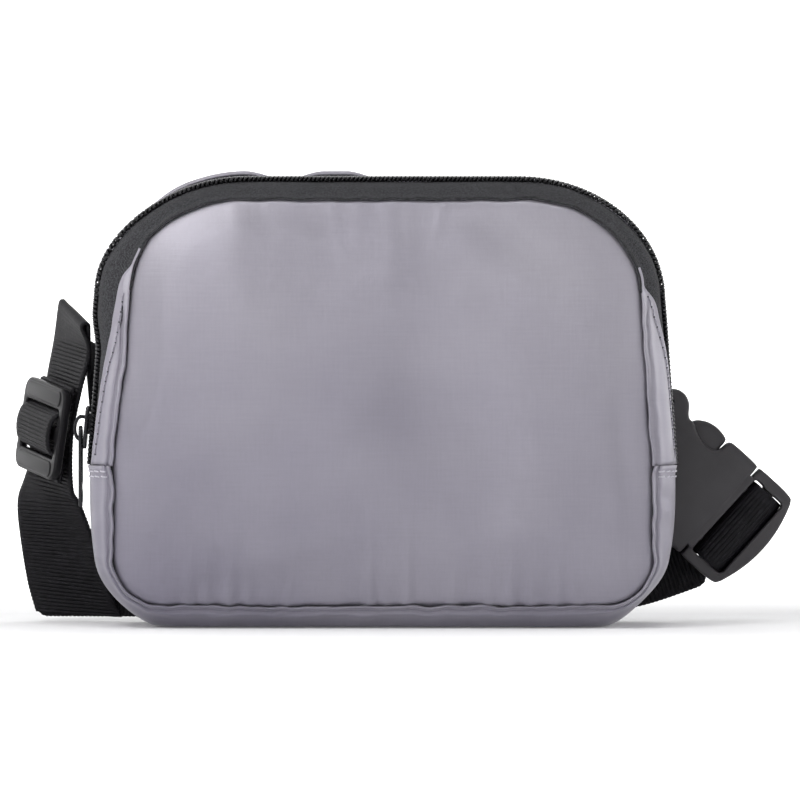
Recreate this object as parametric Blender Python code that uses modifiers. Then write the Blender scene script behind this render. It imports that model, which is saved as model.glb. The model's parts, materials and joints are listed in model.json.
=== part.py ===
"""Small zipped belt bag on a webbing belt with a tri-glide and a side-release buckle.

Metres, +Z up. The bag stands on its bottom gusset at z = 0 and its front faces -Y.
"""
import math

import bmesh
import bpy
from mathutils import Matrix, Vector

MM = 0.001
GAP = 0.35 * MM

# Bag
SEAM_HALF_WIDTH_LOW = 92.3 * MM
SEAM_HALF_WIDTH_TOP = 88.5 * MM
SEAM_BOTTOM = 7.0 * MM
SEAM_TOP = 146.5 * MM
CORNER_LOW = 17.0 * MM
CORNER_TOP_X = 42.0 * MM
CORNER_TOP_Z = 34.0 * MM
CROSS_SEAM_Z = 55.0 * MM
HALF_DEPTH = 22.0 * MM
FRONT_CROWN = 7.0 * MM
BACK_CROWN = 3.0 * MM
BULGE_SIDE = 8.0 * MM
BULGE_TOP = 6.3 * MM
BULGE_BOTTOM = 9.0 * MM
CLOTH = 0.9 * MM
LINING = 0.5 * MM
LINING_INSET = 2.0 * MM

# Zip, in fractions of half the depth
ZIP_MIDDLE_LOW = -0.08
ZIP_MIDDLE_CORNER = -0.30
ZIP_MIDDLE_TOP = -0.42
TAPE_WIDTH = 0.54
ZIP_SLOT = 0.7 * MM / HALF_DEPTH
COIL_WIDTH = 3.0 * MM / HALF_DEPTH
COIL_HEIGHT = 1.2 * MM
SLIDER_Z = 67.5 * MM
ZIP_TRAVEL = 26.0 * MM

# Belt
WEBBING_WIDTH = 30.0 * MM
WEBBING = 1.4 * MM

# Tri-glide, along its own width and the belt
GLIDE_CENTRE = Vector((-118.4, 22.0, 67.5)) * MM
GLIDE_ACROSS = Vector((0.41, -0.90, -0.146)).normalized()
GLIDE_ALONG = Vector((0.15, -0.085, 0.98))
GLIDE_WIDTH = 39.0 * MM
GLIDE_LENGTH = 32.0 * MM
GLIDE_END_BAR = 7.5 * MM
GLIDE_SIDE_BAR = 3.6 * MM
GLIDE_MIDDLE_BAR = 5.0 * MM
GLIDE_THICKNESS = 3.0 * MM

# Buckle, whose axis points down to the right in the plane y = BUCKLE_Y
BUCKLE_TILT = math.radians(-42.4)
BUCKLE_Y = 30.6 * MM
BUCKLE_JOIN = Vector((117.3, 0.0, 39.0)) * MM
FEMALE_THICKNESS = 11.0 * MM
FEMALE_CAVITY = 7.2 * MM
MALE_THICKNESS = 7.6 * MM
PRONG_THICKNESS = 6.4 * MM
PRONG_PIVOT = (-1.6, 11.2)


def clear_scene():
    for obj in list(bpy.data.objects):
        bpy.data.objects.remove(obj, do_unlink=True)


def make_collection(name):
    collection = bpy.data.collections.new(name)
    bpy.context.scene.collection.children.link(collection)
    return collection


def make_material(name, colour, roughness):
    material = bpy.data.materials.new(name)
    material.use_nodes = True
    shader = material.node_tree.nodes["Principled BSDF"]
    shader.inputs["Base Color"].default_value = (*colour, 1.0)
    shader.inputs["Roughness"].default_value = roughness
    shader.inputs["Metallic"].default_value = 0.0
    return material


def add_object(name, mesh, material, collection, smooth=True):
    obj = bpy.data.objects.new(name, mesh)
    obj.data.materials.append(material)
    collection.objects.link(obj)
    if smooth:
        mesh.shade_smooth()
        mesh.set_sharp_from_angle(angle=math.radians(35.0))
    return obj


def cloth_sheet(name, rows, thickness, material, collection, wrap=False, centre=None):
    """A sheet through rows of points, given thickness on the side away from its normals."""
    mesh = bpy.data.meshes.new(name)
    bm = bmesh.new()
    grid = [[bm.verts.new(point) for point in row] for row in rows]
    columns = len(rows[0])
    for row, following in zip(grid, grid[1:]):
        for index in range(columns if wrap else columns - 1):
            other = (index + 1) % columns
            bm.faces.new((row[index], row[other], following[other], following[index]))
    if centre is not None:
        middle = bm.verts.new(centre)
        for index in range(columns):
            bm.faces.new((grid[-1][index], grid[-1][(index + 1) % columns], middle))
    bm.normal_update()
    bm.to_mesh(mesh)
    bm.free()
    obj = add_object(name, mesh, material, collection)
    solidify = obj.modifiers.new("Thickness", "SOLIDIFY")
    solidify.thickness = thickness
    solidify.offset = -1.0
    return obj


# ---------------------------------------------------------------- bag outline

def arc(centre_x, centre_z, radius_x, radius_z, start, end, count):
    angles = [start + (end - start) * step / count for step in range(count + 1)]
    return [
        Vector((centre_x + radius_x * math.cos(a), 0.0, centre_z + radius_z * math.sin(a)))
        for a in map(math.radians, angles)
    ]


def straight(start, end, count):
    """Points after start, up to but not including end."""
    return [start.lerp(end, step / count) for step in range(1, count)]


def lower_rim():
    """From the left cross seam round the bottom to the right cross seam."""
    side = SEAM_HALF_WIDTH_LOW
    inner = side - CORNER_LOW
    high = SEAM_BOTTOM + CORNER_LOW
    left = arc(-inner, high, CORNER_LOW, CORNER_LOW, 180.0, 270.0, 7)
    right = arc(inner, high, CORNER_LOW, CORNER_LOW, 270.0, 360.0, 7)
    start = Vector((-side, 0.0, CROSS_SEAM_Z))
    end = Vector((side, 0.0, CROSS_SEAM_Z))
    points = [start] + straight(start, left[0], 4) + left
    points += straight(left[-1], right[0], 10) + right
    return points + straight(right[-1], end, 4) + [end]


def upper_rim():
    """From the right cross seam over the top to the left cross seam."""
    top_x = SEAM_HALF_WIDTH_TOP - CORNER_TOP_X
    top_z = SEAM_TOP - CORNER_TOP_Z
    right = arc(top_x, top_z, CORNER_TOP_X, CORNER_TOP_Z, 0.0, 90.0, 9)
    left = arc(-top_x, top_z, CORNER_TOP_X, CORNER_TOP_Z, 90.0, 180.0, 9)
    start = Vector((SEAM_HALF_WIDTH_LOW, 0.0, CROSS_SEAM_Z))
    end = Vector((-SEAM_HALF_WIDTH_LOW, 0.0, CROSS_SEAM_Z))
    points = [start] + straight(start, right[0], 6) + right
    points += straight(right[-1], left[0], 8) + left
    return points + straight(left[-1], end, 6) + [end]


def outward(points, index):
    before = points[max(index - 1, 0)]
    after = points[min(index + 1, len(points) - 1)]
    along = (after - before).normalized()
    return Vector((along.z, 0.0, -along.x))


def smoothstep(value):
    value = min(max(value, 0.0), 1.0)
    return value * value * (3.0 - 2.0 * value)


def bulge_at(point):
    """How far the gusset stands out from the seam at its middle."""
    if point.z > CROSS_SEAM_Z:
        share = (point.z - CROSS_SEAM_Z) / (SEAM_TOP - CROSS_SEAM_Z)
        return BULGE_SIDE + (BULGE_TOP - BULGE_SIDE) * share
    share = smoothstep((CROSS_SEAM_Z - point.z) / (CROSS_SEAM_Z - SEAM_BOTTOM))
    return BULGE_SIDE + (BULGE_BOTTOM - BULGE_SIDE) * share


def gusset_point(points, index, across, inset=0.0):
    """A point of the gusset. across runs from -1 at the front seam to 1 at the back seam."""
    point = points[index]
    stand = bulge_at(point) * (1.0 - across ** 4) - inset
    place = point + outward(points, index) * stand
    place.y = across * HALF_DEPTH
    floor = inset
    place.z = max(place.z, floor)
    return place


def zip_middle(point):
    """Where the zip runs across the depth: straight up the sides, then round the corners to the top."""
    corner = SEAM_TOP - CORNER_TOP_Z
    if point.z < corner:
        share = (point.z - CROSS_SEAM_Z) / (corner - CROSS_SEAM_Z)
        return ZIP_MIDDLE_LOW + (ZIP_MIDDLE_CORNER - ZIP_MIDDLE_LOW) * share
    share = (point.z - corner) / CORNER_TOP_Z
    return ZIP_MIDDLE_CORNER + (ZIP_MIDDLE_TOP - ZIP_MIDDLE_CORNER) * math.sin(share * math.pi / 2.0)


def spaced(low, high, count):
    return [low + (high - low) * step / count for step in range(count + 1)]


# ---------------------------------------------------------------- bag pieces

def panel_rows(rim, side, crown, inset, rings, lift):
    """Rings from the rim inwards on a crowned panel. side is -1 in front, 1 behind."""
    middle = Vector((0.0, 0.0, 0.5 * (SEAM_TOP + SEAM_BOTTOM)))
    rows = []
    for ring in range(rings):
        share = 1.0 - ring / rings
        height = crown * (1.0 - share ** 3)
        row = []
        for index, point in enumerate(rim):
            edge = point - outward_closed(rim, index) * inset
            place = middle + (edge - middle) * share
            place.y = side * (lift + height)
            row.append(place)
        rows.append(row if side < 0 else row[::-1])
    tip = middle.copy()
    tip.y = side * (lift + crown)
    return rows, tip


def outward_closed(points, index):
    along = (points[(index + 1) % len(points)] - points[index - 1]).normalized()
    return Vector((along.z, 0.0, -along.x))


def full_rim():
    return lower_rim() + upper_rim()[1:-1]


def add_panels(cloth, lining, collection):
    rim = full_rim()
    lift = HALF_DEPTH + GAP + CLOTH
    for name, side, crown in (("front_panel", -1, FRONT_CROWN), ("back_panel", 1, BACK_CROWN)):
        rows, tip = panel_rows(rim, side, crown, 0.0, 6, lift)
        cloth_sheet(name, rows, CLOTH, cloth, collection, wrap=True, centre=tip)
        rows, tip = panel_rows(rim[::2], side, crown, 4.0 * MM, 4, lift - LINING_INSET - CLOTH)
        cloth_sheet(name.replace("panel", "lining"), rows, LINING, lining, collection, wrap=True, centre=tip)


def gusset_rows(points, fractions, indices, inset=0.0):
    return [[gusset_point(points, index, across, inset) for index in indices] for across in fractions]


def flipped(rows):
    return [row[::-1] for row in rows]


def add_bottom_gusset(cloth, lining, collection):
    rim = lower_rim()
    indices = range(len(rim))
    rows = gusset_rows(rim, spaced(-1.0, 1.0, 8), indices)
    cloth_sheet("bottom_gusset", flipped(rows), CLOTH, cloth, collection)
    rows = gusset_rows(rim, spaced(-0.84, 0.84, 4), indices, LINING_INSET + 0.6 * MM)
    cloth_sheet("bottom_lining", flipped(rows), LINING, lining, collection)


def ribbon_between(rim, indices, low, high, count, inset=0.0):
    """Rows between two edges that are functions of a point of the rim."""
    rows = []
    for step in range(count + 1):
        share = step / count
        row = []
        for index in indices:
            point = rim[index]
            across = low(point) + (high(point) - low(point)) * share
            row.append(gusset_point(rim, index, across, inset))
        rows.append(row)
    return rows


def above_cross_seam(rows):
    """The two ends of a strip stop a gap above the cross seams."""
    for row in rows:
        for place in (row[0], row[-1]):
            place.z = CROSS_SEAM_Z + GAP
    return rows


def add_top_gusset(cloth, tape, coil, lining, collection):
    rim = upper_rim()
    everything = range(len(rim))
    edge = GAP / HALF_DEPTH

    def front_edge(point):
        return max(zip_middle(point) - TAPE_WIDTH, -1.0)

    def rear_edge(point):
        return zip_middle(point) + TAPE_WIDTH

    def slot_front(point):
        return zip_middle(point) - ZIP_SLOT

    def slot_rear(point):
        return zip_middle(point) + ZIP_SLOT

    sheets = (
        ("zip_tape_front", front_edge, slot_front, 4, tape),
        ("zip_tape_rear", slot_rear, rear_edge, 4, tape),
        ("rear_strip", lambda p: rear_edge(p) + edge, lambda p: 1.0, 5, cloth),
    )
    for name, low, high, count, material in sheets:
        rows = above_cross_seam(ribbon_between(rim, everything, low, high, count))
        cloth_sheet(name, flipped(rows), CLOTH, material, collection)
    rows = ribbon_between(rim, everything, lambda p: rear_edge(p) + 0.06, lambda p: 0.84, 2, LINING_INSET)
    cloth_sheet("top_lining", flipped(above_cross_seam(rows)), LINING, lining, collection)

    coils = (
        ("zip_coil_front", lambda p: zip_middle(p) - ZIP_SLOT - COIL_WIDTH, slot_front),
        ("zip_coil_rear", slot_rear, lambda p: zip_middle(p) + ZIP_SLOT + COIL_WIDTH),
    )
    for name, low, high in coils:
        stand = -(COIL_HEIGHT + GAP)
        rows = above_cross_seam(ribbon_between(rim, everything, low, high, 1, stand))
        cloth_sheet(name, flipped(rows), COIL_HEIGHT, coil, collection)

    count = len(rim)
    for name, run in (("front_strip_right", range(0, 12)), ("front_strip_left", range(count - 12, count))):
        rows = ribbon_between(rim, run, lambda p: -1.0, lambda p: front_edge(p) - edge, 3)
        end = 0 if name.endswith("right") else -1
        for row in rows:
            row[end].z = CROSS_SEAM_Z + GAP
        cloth_sheet(name, flipped(rows), CLOTH, cloth, collection)


def add_seam_bindings(tape, collection):
    rim = full_rim()[::2]
    for name, side in (("front_seam_binding", -1), ("back_seam_binding", 1)):
        rows = []
        for depth in (0.5, 5.5):
            row = []
            for index, point in enumerate(rim):
                place = point - outward_closed(rim, index) * (CLOTH + 1.0 * MM)
                place.y = side * (HALF_DEPTH - depth * MM)
                row.append(place)
            rows.append(row if side > 0 else row[::-1])
        cloth_sheet(name, rows, LINING, tape, collection, wrap=True)


# ---------------------------------------------------------------- zip slider and pull

def slab(bm, low, high):
    """A box between two corners."""
    size = Vector(high) - Vector(low)
    centre = (Vector(high) + Vector(low)) * 0.5
    bmesh.ops.create_cube(bm, size=1.0, matrix=Matrix.Translation(centre) @ Matrix.Diagonal((*size, 1.0)))


def mesh_from(name, build):
    bm = bmesh.new()
    build(bm)
    mesh = bpy.data.meshes.new(name)
    bm.to_mesh(mesh)
    bm.free()
    return mesh


def unite(obj, others):
    """Join others to obj with exact unions and remove them."""
    for index, other in enumerate(others):
        join = obj.modifiers.new("Join%d" % index, "BOOLEAN")
        join.operation = "UNION"
        join.solver = "EXACT"
        join.object = other
        other.hide_render = True
        other.display_type = "WIRE"


def flat_outline(name, outer, holes, thickness):
    """A closed mesh of a flat outline with holes, in the XY plane, centred in Z."""
    curve = bpy.data.curves.new(name, "CURVE")
    curve.dimensions = "2D"
    curve.fill_mode = "BOTH"
    curve.extrude = thickness * 0.5
    for loop in [outer] + list(holes):
        spline = curve.splines.new("POLY")
        spline.points.add(len(loop) - 1)
        for point, place in zip(spline.points, loop):
            point.co = (place[0], place[1], 0.0, 1.0)
        spline.use_cyclic_u = True
    temporary = bpy.data.objects.new(name + "_outline", curve)
    bpy.context.scene.collection.objects.link(temporary)
    bpy.context.view_layer.update()
    evaluated = temporary.evaluated_get(bpy.context.evaluated_depsgraph_get())
    mesh = bpy.data.meshes.new_from_object(evaluated)
    bpy.data.objects.remove(temporary, do_unlink=True)
    bm = bmesh.new()
    bm.from_mesh(mesh)
    bmesh.ops.remove_doubles(bm, verts=bm.verts, dist=0.00001)
    bmesh.ops.recalc_face_normals(bm, faces=bm.faces)
    bm.to_mesh(mesh)
    bm.free()
    return mesh


def rounded_rectangle(half_x, half_y, radius, steps=4, centre=(0.0, 0.0)):
    points = []
    for corner, (sign_x, sign_y) in enumerate(((1, 1), (-1, 1), (-1, -1), (1, -1))):
        for step in range(steps + 1):
            angle = math.radians(90.0 * (corner + step / steps))
            points.append((
                centre[0] + sign_x * (half_x - radius) + radius * math.cos(angle),
                centre[1] + sign_y * (half_y - radius) + radius * math.sin(angle),
            ))
    return points


def left_track_point(height):
    """A point of the straight left stretch of the zip's middle line, on the outside of the tape."""
    share = (height - CROSS_SEAM_Z) / (SEAM_TOP - CORNER_TOP_Z - CROSS_SEAM_Z)
    rim_x = SEAM_HALF_WIDTH_LOW + (SEAM_HALF_WIDTH_TOP - SEAM_HALF_WIDTH_LOW) * share
    point = Vector((-rim_x, 0.0, height))
    across = zip_middle(point)
    return Vector((-(rim_x + bulge_at(point) * (1.0 - across ** 4)), across * HALF_DEPTH, height))


def slider_frame():
    """Slider axes: X out of the bag, Y across the zip, Z up the zip."""
    low = left_track_point(SLIDER_Z)
    up = (left_track_point(SLIDER_Z + ZIP_TRAVEL) - low).normalized()
    across = up.cross(Vector((-1.0, 0.0, 0.0))).normalized()
    out = across.cross(up)
    axes = Matrix((out, across, up)).transposed().to_4x4()
    return Matrix.Translation(low) @ axes


def add_slider(metal, collection):
    frame = slider_frame()
    outside = COIL_HEIGHT + 2.0 * GAP + 0.2 * MM
    plate = outside + 1.1 * MM

    def plates(bm):
        slab(bm, (outside, -4.2 * MM, -7.0 * MM), (plate, 4.2 * MM, 7.5 * MM))

    def post(bm):
        slab(bm, (-3.2 * MM, -0.35 * MM, -2.0 * MM), (plate - 0.2 * MM, 0.35 * MM, 5.5 * MM))

    def back(bm):
        slab(bm, (-3.4 * MM, -3.6 * MM, -6.0 * MM), (-2.4 * MM, 3.6 * MM, 6.5 * MM))

    slider = add_object("zip_slider", mesh_from("zip_slider", plates), metal, collection)
    slider.matrix_world = frame
    others = [cutter_object("slider_post", mesh_from("slider_post", post), frame)]
    others.append(cutter_object("slider_back", mesh_from("slider_back", back), frame))
    bridge = flat_outline("slider_bridge", bridge_outline(plate), (), 2.4 * MM)
    stand = Matrix.Rotation(math.radians(90.0), 4, "X")
    others.append(cutter_object("slider_bridge", bridge, frame @ stand))
    unite(slider, others)
    return frame, plate


def bridge_outline(plate):
    """An arch with its feet in the outer plate, in the plane of X out and Z up."""
    outer = [(plate - 0.3 * MM, -4.5 * MM)]
    inner = []
    for step in range(9):
        angle = math.radians(-90.0 + 180.0 * step / 8)
        outer.append((plate + 1.6 * MM + 2.2 * MM * math.cos(angle), 4.5 * MM * math.sin(angle)))
        inner.append((plate + 1.2 * MM + 1.6 * MM * math.cos(angle), 3.3 * MM * math.sin(angle)))
    outer.append((plate - 0.3 * MM, 4.5 * MM))
    return outer + [(plate - 0.3 * MM, 3.3 * MM)] + inner[::-1] + [(plate - 0.3 * MM, -3.3 * MM)]


CUTTERS = []


def cutter_object(name, mesh, matrix):
    obj = bpy.data.objects.new(name, mesh)
    CUTTERS[0].objects.link(obj)
    obj.matrix_world = matrix
    obj.hide_render = True
    obj.display_type = "WIRE"
    return obj


def add_pull(metal, collection, frame, plate):
    """A long narrow loop hung under the slider's bridge by its top bar."""
    half_length = 14.0 * MM
    outer = rounded_rectangle(3.5 * MM, half_length, 2.6 * MM)
    hole = rounded_rectangle(2.0 * MM, half_length - 1.5 * MM, 1.3 * MM)
    mesh = flat_outline("zip_pull", outer, [hole[::-1]], 1.3 * MM)
    turn = Matrix.Rotation(math.radians(90.0), 4, "Z") @ Matrix.Rotation(math.radians(90.0), 4, "X")
    drop = Matrix.Translation((0.0, 0.0, -(half_length - 0.75 * MM)))
    mesh.transform(drop @ turn)
    pull = add_object("zip_pull", mesh, metal, collection)
    pivot = Matrix.Translation((plate + 1.35 * MM, 0.0, 0.0))
    place = (frame @ pivot).to_translation()
    pull.matrix_world = Matrix.Translation(place)
    return pull


# ---------------------------------------------------------------- webbing

def ribbon(name, stations, material, collection, thickness=WEBBING, steps=4):
    """Webbing through stations (left point, right point), smoothed between them."""
    lefts = smooth_path([Vector(left) * MM for left, _ in stations], steps)
    rights = smooth_path([Vector(right) * MM for _, right in stations], steps)
    obj = cloth_sheet(name, [lefts, rights], thickness, material, collection)
    obj.modifiers["Thickness"].offset = 0.0
    return obj


def smooth_path(points, steps):
    """Catmull-Rom points through the given points."""
    if steps == 1:
        return points
    ends = [points[0] * 2.0 - points[1]] + points + [points[-1] * 2.0 - points[-2]]
    path = []
    for index in range(1, len(ends) - 2):
        a, b, c, d = ends[index - 1:index + 3]
        for step in range(steps):
            t = step / steps
            path.append(0.5 * (
                2.0 * b + (c - a) * t + (2.0 * a - 5.0 * b + 4.0 * c - d) * t * t
                + (3.0 * b - a - 3.0 * c + d) * t ** 3
            ))
    return path + [points[-1]]


def glide_frame():
    """Tri-glide axes: X across the belt, Y up along it, Z out of its face."""
    along = (GLIDE_ALONG - GLIDE_ACROSS * GLIDE_ALONG.dot(GLIDE_ACROSS)).normalized()
    face = GLIDE_ACROSS.cross(along)
    axes = Matrix((GLIDE_ACROSS, along, face)).transposed().to_4x4()
    return Matrix.Translation(GLIDE_CENTRE) @ axes


def add_tri_glide(plastic, collection):
    slot_half = (GLIDE_LENGTH - 2.0 * GLIDE_END_BAR - GLIDE_MIDDLE_BAR) * 0.25
    slot_y = GLIDE_MIDDLE_BAR * 0.5 + slot_half
    slot_x = GLIDE_WIDTH * 0.5 - GLIDE_SIDE_BAR
    outer = rounded_rectangle(GLIDE_WIDTH * 0.5, GLIDE_LENGTH * 0.5, 5.0 * MM)
    holes = [
        rounded_rectangle(slot_x, slot_half, 1.0 * MM, steps=2, centre=(0.0, sign * slot_y))[::-1]
        for sign in (1, -1)
    ]
    mesh = flat_outline("tri_glide", outer, holes, GLIDE_THICKNESS)
    glide = add_object("tri_glide", mesh, plastic, collection)
    glide.matrix_world = glide_frame()
    return glide


def placed(frame, points):
    return [tuple(frame @ (Vector(point) * MM) / MM) for point in points]


def across_belt(frame, heights, half=WEBBING_WIDTH * 0.5 / MM):
    """Stations across the belt from (along, out of face) pairs in the tri-glide's own frame."""
    stations = []
    for along, out in heights:
        left, right = placed(frame, [(-half, along, out), (half, along, out)])
        stations.append((left, right))
    return stations


def add_left_belt(webbing, collection):
    """The belt that leaves the back seam, folds over above the tri-glide and runs down through it."""
    frame = glide_frame()
    rising = [(16.5, -3.0), (10.0, -3.0), (7.2, -2.0), (5.3, 0.4), (3.4, 2.7)]
    wrap = rising + [(0.0, 3.4)] + [(-along, out) for along, out in rising[::-1]]
    ribbon("belt_glide_wrap", across_belt(frame, wrap), webbing, collection, steps=3)
    run = across_belt(frame, [(42.5, -5.2), (30.0, -5.2), (16.0, -5.0), (0.0, -5.2), (-17.5, -5.4)])
    run += [
        ((-127.8, 36.0, 42.0), (-105.4, 16.6, 41.0)),
        ((-127.2, 37.5, 29.0), (-100.8, 25.0, 27.5)),
        ((-124.8, 37.0, 14.0), (-95.8, 31.0, 11.0)),
        ((-121.8, 35.8, 3.4), (-91.5, 32.0, 1.6)),
    ]
    ribbon("belt_left_run", run, webbing, collection)
    anchor = across_belt(frame, [(42.5, -7.4)])
    anchor += [
        ((-107.5, 38.0, 103.0), (-101.0, 12.0, 93.0)),
        ((-100.0, 36.0, 100.0), (-99.5, 20.0, 75.0)),
        ((-90.0, 28.5, 99.0), (-90.5, 27.5, 69.0)),
        ((-72.0, 28.0, 99.0), (-72.0, 28.0, 69.0)),
    ]
    ribbon("belt_anchor_run", anchor, webbing, collection)


def add_back_belt(webbing, collection):
    """The spare belt, folded flat behind the bag, then out to the right behind the buckle."""
    low = 1.6
    high = low + WEBBING_WIDTH / MM
    route = [(-121.5, 38.4), (-95.0, 35.8), (-70.0, 31.6), (-45.0, 29.4), (0.0, 29.2), (56.0, 29.2), (61.0, 30.4), (56.0, 31.6),
             (0.0, 31.6), (-64.0, 31.8), (-69.0, 33.1), (-64.0, 34.4), (0.0, 34.4), (50.0, 35.0)]
    stations = [((x, y, low), (x, y, high)) for x, y in route]
    stations += [
        ((72.0, 38.6, 2.4), (70.0, 38.6, 32.4)),
        ((92.0, 40.0, 5.5), (86.0, 40.0, 35.0)),
        ((114.4, 40.0, 13.0), (103.0, 40.0, 40.8)),
    ]
    ribbon("belt_back_run", stations, webbing, collection, steps=3)


# ---------------------------------------------------------------- buckle

def buckle_frame():
    """Buckle axes: X along it away from the bag, Y up across it, Z out of its face."""
    along = Vector((math.cos(BUCKLE_TILT), 0.0, math.sin(BUCKLE_TILT)))
    across = Vector((-math.sin(BUCKLE_TILT), 0.0, math.cos(BUCKLE_TILT)))
    face = along.cross(across)
    place = Vector((BUCKLE_JOIN.x, BUCKLE_Y, BUCKLE_JOIN.z))
    return Matrix.Translation(place) @ Matrix((along, across, face)).transposed().to_4x4()


def mirrored(points):
    """A closed outline from its upper half, listed from one end to the other."""
    return points + [(x, -y) for x, y in reversed(points) if abs(y) > 0.01]


def in_metres(points):
    return [(x * MM, y * MM) for x, y in points]


def female_outline():
    collar = [(0.0, 19.6), (-0.9, 20.5), (-12.4, 20.5), (-13.6, 19.6)]
    window = [(-14.0, 15.4), (-16.2, 13.8), (-20.0, 13.4), (-24.0, 14.6), (-27.2, 16.6)]
    shoulder = [(-29.0, 16.4), (-30.6, 17.6), (-32.6, 20.4), (-35.6, 21.9), (-38.8, 21.6), (-41.6, 19.6)]
    return mirrored(collar + window + shoulder + [(-43.4, 16.0)])


def box_mesh(name, low, high):
    def build(bm):
        slab(bm, Vector(low) * MM, Vector(high) * MM)
    return mesh_from(name, build)


def cut(obj, others):
    for index, other in enumerate(others):
        hole = obj.modifiers.new("Cut%d" % index, "BOOLEAN")
        hole.operation = "DIFFERENCE"
        hole.solver = "EXACT"
        hole.object = other


def add_female(plastic, collection):
    frame = buckle_frame()
    mesh = flat_outline("buckle_female", in_metres(female_outline()), (), FEMALE_THICKNESS)
    female = add_object("buckle_female", mesh, plastic, collection)
    female.matrix_world = frame
    half = 0.5 * FEMALE_CAVITY / MM
    cavity = box_mesh("prong_cavity", (-29.4, -18.7, -half), (1.0, 18.7, half))
    slot = box_mesh("tab_slot", (-39.6, -15.9, -8.0), (-34.6, 15.9, 8.0))
    front = box_mesh("tab_relief_front", (-44.5, -15.9, 2.4), (-39.0, 15.9, 8.0))
    back = box_mesh("tab_relief_back", (-44.5, -15.9, -8.0), (-39.0, 15.9, -2.4))
    cut(female, [cutter_object(mesh.name, mesh, frame) for mesh in (cavity, slot, front, back)])


def male_outline():
    end = [(20.6 - 0.0107 * y * y, y) for y in (18.6, 14.0, 9.0, 3.0)]
    return mirrored([(0.4, 19.8), (1.2, 20.5), (15.4, 20.4)] + end)


def add_male(plastic, collection):
    """The frame round the belt's bar, with the guide tongue that enters the female half."""
    frame = buckle_frame()
    slots = [
        rounded_rectangle(2.15 * MM, 16.6 * MM, 0.8 * MM, steps=2, centre=(4.35 * MM, 0.0))[::-1],
        rounded_rectangle(2.7 * MM, 16.3 * MM, 0.8 * MM, steps=2, centre=(12.8 * MM, 0.0))[::-1],
    ]
    mesh = flat_outline("buckle_male", in_metres(male_outline()), slots, MALE_THICKNESS)
    male = add_object("buckle_male", mesh, plastic, collection)
    male.matrix_world = frame
    tongue = box_mesh("guide_tongue", (-27.0, -2.4, -2.4), (1.0, 2.4, 2.4))
    unite(male, [cutter_object("guide_tongue", tongue, frame)])
    relief = [
        box_mesh("bar_relief_front", (6.4, -16.2, 2.0), (10.2, 16.2, 6.0)),
        box_mesh("bar_relief_back", (6.4, -16.2, -6.0), (10.2, 16.2, -2.0)),
    ]
    cut(male, [cutter_object(mesh.name, mesh, frame) for mesh in relief])


def add_prongs(plastic, collection):
    frame = buckle_frame()
    outline = [
        (-0.2, 13.2), (-0.2, 9.4), (-8.0, 9.0), (-16.0, 10.2), (-24.0, 12.4), (-27.2, 14.8), (-27.8, 16.6),
        (-26.6, 18.4), (-23.6, 20.2), (-20.2, 20.9), (-16.8, 20.6), (-14.4, 19.8), (-14.4, 14.6), (-8.0, 12.6),
    ]
    for name, side in (("buckle_prong_upper", 1), ("buckle_prong_lower", -1)):
        pivot = Vector((PRONG_PIVOT[0], side * PRONG_PIVOT[1], 0.0)) * MM
        points = [(x * MM - pivot.x, side * y * MM - pivot.y) for x, y in outline]
        mesh = flat_outline(name, points[::side], (), PRONG_THICKNESS)
        prong = add_object(name, mesh, plastic, collection)
        prong.matrix_world = frame @ Matrix.Translation(pivot)


def along_buckle(frame, route, half=WEBBING_WIDTH * 0.5 / MM):
    """Stations from (along, out of face) pairs in the buckle's own frame."""
    return [tuple(placed(frame, [(along, -half, out), (along, half, out)])) for along, out in route]


def add_buckle_webbing(webbing, collection):
    frame = buckle_frame()
    loop = [(1.6, -6.4), (3.6, -4.2), (4.3, 0.0), (5.6, 2.9), (8.3, 3.7), (11.0, 2.9), (12.6, 0.0),
            (12.9, -4.6), (11.0, -7.4), (2.0, -8.2)]
    ribbon("belt_buckle_wrap", along_buckle(frame, loop), webbing, collection, steps=3)
    tab = [(-62.0, 1.3), (-56.0, 0.0), (-48.0, -3.4), (-42.0, -4.0), (-37.8, -3.6), (-36.9, 0.0),
           (-37.8, 3.4), (-42.0, 3.9), (-48.0, 3.6), (-56.0, 3.4), (-62.0, 3.5)]
    ribbon("female_tab", along_buckle(frame, tab), webbing, collection, steps=3)


def main():
    clear_scene()
    bag = make_collection("belt_bag")
    CUTTERS.append(make_collection("cutters"))
    cloth = make_material("lilac_nylon", (0.45, 0.43, 0.50), 0.5)
    lining = make_material("lining", (0.10, 0.10, 0.11), 0.8)
    tape = make_material("zip_tape", (0.03, 0.03, 0.035), 0.85)
    coil = make_material("zip_coil", (0.02, 0.02, 0.022), 0.45)
    metal = make_material("black_metal", (0.02, 0.02, 0.02), 0.3)
    webbing = make_material("webbing", (0.015, 0.014, 0.018), 0.7)
    plastic = make_material("black_acetal", (0.035, 0.035, 0.038), 0.5)
    add_panels(cloth, lining, bag)
    add_bottom_gusset(cloth, lining, bag)
    add_top_gusset(cloth, tape, coil, lining, bag)
    add_seam_bindings(tape, bag)
    frame, plate = add_slider(metal, bag)
    add_pull(metal, bag, frame, plate)
    add_tri_glide(plastic, bag)
    add_left_belt(webbing, bag)
    add_back_belt(webbing, bag)
    add_female(plastic, bag)
    add_male(plastic, bag)
    add_prongs(plastic, bag)
    add_buckle_webbing(webbing, bag)


main()
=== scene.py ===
"""The looks of the belt bag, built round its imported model. Metres, +Z up, the front faces -Y."""

import json
import math
import random

import bmesh
import bpy
import numpy as np
from mathutils import Matrix, Vector, noise

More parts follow.
